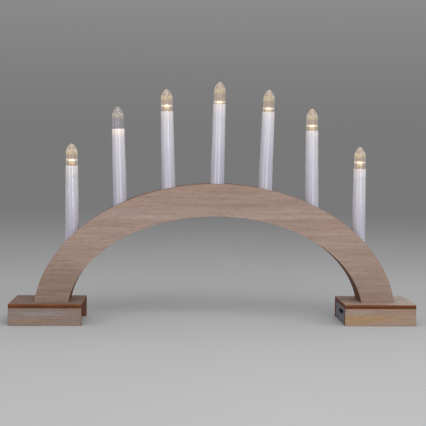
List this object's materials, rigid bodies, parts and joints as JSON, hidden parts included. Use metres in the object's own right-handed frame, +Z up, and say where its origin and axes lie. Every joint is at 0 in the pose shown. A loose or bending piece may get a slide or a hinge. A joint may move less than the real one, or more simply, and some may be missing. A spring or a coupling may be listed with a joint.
{
  "type": "candle arch",
  "caption": "Battery-lit wooden candle arch: plywood sandwich arch on two channel feet, tapered candle tubes with clear lift-off lamp caps, battery box with slide switch in one foot.",
  "frame": {"origin": "middle of the two feet, on the surface that they stand on", "axes": "+X along the arch towards the foot with the battery box, +Y from the front to the rear, +Z up"},
  "size_m": [0.42, 0.057, 0.2515],
  "materials": {
    "plywood": "bare plywood, straight grain along the arch, laser-burnt edges",
    "bent_strip": "bare bent veneer strip, browned",
    "block_wood": "sawn softwood",
    "steel": "zinc-plated",
    "candle_plastic": "satin white moulded tube",
    "clear_plastic": "clear moulded plastic",
    "holder_plastic": "milky moulded plastic with ridges",
    "led": "warm white diode, lit",
    "box_plastic": "light grey moulded plastic",
    "cell_jacket": "plain dark jacket",
    "switch_plastic": "black moulded plastic",
    "wire_red": "red insulation",
    "wire_black": "black insulation"
  },
  "bodies": {
    "root": {"front_arch_plate": "plywood", "rear_arch_plate": "plywood", "crown_strip": "bent_strip", "soffit_strip": "bent_strip", "left_leg_block": "block_wood", "right_leg_block": "block_wood", "foot_screws": "steel", "candle_blocks": "block_wood", "left_foot_top": "plywood", "left_foot_front_wall": "plywood", "left_foot_rear_wall": "plywood", "right_foot_top": "plywood", "right_foot_front_wall": "plywood", "right_foot_rear_wall": "plywood", "candle_tube_1": "candle_plastic", "lamp_holder_1": "holder_plastic", "lamp_led_1": "led", "candle_tube_2": "candle_plastic", "lamp_holder_2": "holder_plastic", "lamp_led_2": "led", "candle_tube_3": "candle_plastic", "lamp_holder_3": "holder_plastic", "lamp_led_3": "led", "candle_tube_4": "candle_plastic", "lamp_holder_4": "holder_plastic", "lamp_led_4": "led", "candle_tube_5": "candle_plastic", "lamp_holder_5": "holder_plastic", "lamp_led_5": "led", "candle_tube_6": "candle_plastic", "lamp_holder_6": "holder_plastic", "lamp_led_6": "led", "candle_tube_7": "candle_plastic", "lamp_holder_7": "holder_plastic", "lamp_led_7": "led", "battery_box": "box_plastic", "battery_cell_1": "cell_jacket", "battery_cell_2": "cell_jacket", "battery_cell_3": "cell_jacket", "battery_contacts": "steel", "switch_body": "switch_plastic", "wire_positive": "wire_red", "wire_negative": "wire_black"},
    "lamp_cap_1": {"lamp_cap_1": "clear_plastic"},
    "lamp_cap_2": {"lamp_cap_2": "clear_plastic"},
    "lamp_cap_3": {"lamp_cap_3": "clear_plastic"},
    "lamp_cap_4": {"lamp_cap_4": "clear_plastic"},
    "lamp_cap_5": {"lamp_cap_5": "clear_plastic"},
    "lamp_cap_6": {"lamp_cap_6": "clear_plastic"},
    "lamp_cap_7": {"lamp_cap_7": "clear_plastic"},
    "battery_cover": {"battery_cover": "box_plastic"},
    "switch_knob": {"switch_knob": "switch_plastic"}
  },
  "joints": [
    {"name": "lamp_cap_1_lift", "type": "slide", "parent": "root", "child": "lamp_cap_1", "axis": [-0.0052, 0, 1], "range_m": [0, 0.025]},
    {"name": "lamp_cap_2_lift", "type": "slide", "parent": "root", "child": "lamp_cap_2", "axis": [-0.0297, 0, 0.9996], "range_m": [0, 0.025]},
    {"name": "lamp_cap_3_lift", "type": "slide", "parent": "root", "child": "lamp_cap_3", "axis": [-0.0279, 0, 0.9996], "range_m": [0, 0.025]},
    {"name": "lamp_cap_4_lift", "type": "slide", "parent": "root", "child": "lamp_cap_4", "axis": [0.0175, 0, 0.9998], "range_m": [0, 0.025]},
    {"name": "lamp_cap_5_lift", "type": "slide", "parent": "root", "child": "lamp_cap_5", "axis": [0.0297, 0, 0.9996], "range_m": [0, 0.025]},
    {"name": "lamp_cap_6_lift", "type": "slide", "parent": "root", "child": "lamp_cap_6", "axis": [-0.0122, 0, 0.9999], "range_m": [0, 0.025]},
    {"name": "lamp_cap_7_lift", "type": "slide", "parent": "root", "child": "lamp_cap_7", "axis": [0, 0, 1], "range_m": [0, 0.025]},
    {"name": "battery_cover_slide", "type": "slide", "parent": "root", "child": "battery_cover", "axis": [1, 0, 0], "range_m": [0, 0.072]},
    {"name": "switch_slide", "type": "slide", "parent": "root", "child": "switch_knob", "axis": [0, -1, 0], "range_m": [0, 0.0054]}
  ]
}
